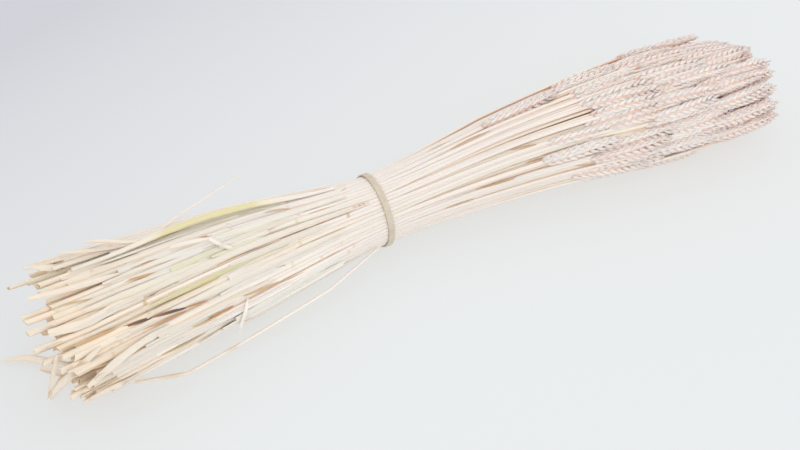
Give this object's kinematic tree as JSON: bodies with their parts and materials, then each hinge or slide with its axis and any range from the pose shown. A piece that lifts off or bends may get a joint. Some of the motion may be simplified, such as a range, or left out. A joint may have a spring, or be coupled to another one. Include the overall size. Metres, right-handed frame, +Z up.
{
  "type": "bundle of dried wheat",
  "caption": "Bundle of dried, bleached wheat with pale pink awnless ears and cream straw, tied with a flat rubber band and lying down.",
  "frame": {"origin": "middle of the foot of the bundle's box, on the surface it lies on", "axes": "+X along the bundle from the cut ends to the ears, +Z up from the surface it lies on, +Y across"},
  "size_m": [0.6592, 0.1296, 0.0869],
  "materials": {
    "straw": "matt, dried straw",
    "ears": "matt, pale pink husks",
    "leaf": "matt, dried leaf",
    "rubber_band": "satin"
  },
  "bodies": {
    "root": {"band": "rubber_band", "kinked_straw": "leaf", "sheath_01": "leaf", "sheath_02": "leaf", "sheath_03": "leaf", "sheath_04": "leaf", "sheath_05": "leaf", "sheath_06": "leaf", "sheath_07": "leaf", "stalks_01": "straw", "stalks_02": "straw", "stalks_03": "straw", "stalks_04": "straw", "stalks_05": "straw", "stalks_06": "straw", "stalks_07": "straw", "stalks_08": "straw", "stalks_09": "straw", "stalks_10": "straw", "stalks_11": "straw", "stalks_12": "straw", "stalks_13": "straw", "stalks_14": "straw", "stalks_15": "straw", "stalks_16": "straw", "stalks_17": "straw", "stalks_18": "straw", "stalks_19": "straw", "stalks_20": "straw", "stalks_21": "straw", "stalks_22": "straw", "stalks_23": "straw", "stalks_24": "straw", "stalks_25": "straw", "stalks_26": "straw", "stalks_27": "straw", "stalks_28": "straw", "stalks_29": "straw", "stalks_30": "straw", "stalks_31": "straw", "stalks_32": "straw", "stalks_33": "straw", "stalks_34": "straw", "stalks_35": "straw", "stalks_36": "straw", "stalks_37": "straw", "stalks_38": "straw", "stalks_39": "straw", "stalks_40": "straw", "stalks_41": "straw", "stalks_42": "straw", "stalks_43": "straw", "stalks_44": "straw", "stalks_45": "straw", "tail_01": "leaf", "tail_02": "leaf", "tail_03": "leaf", "tail_04": "leaf", "tail_05": "leaf", "thin_blade": "leaf"}
  },
  "joints": []
}
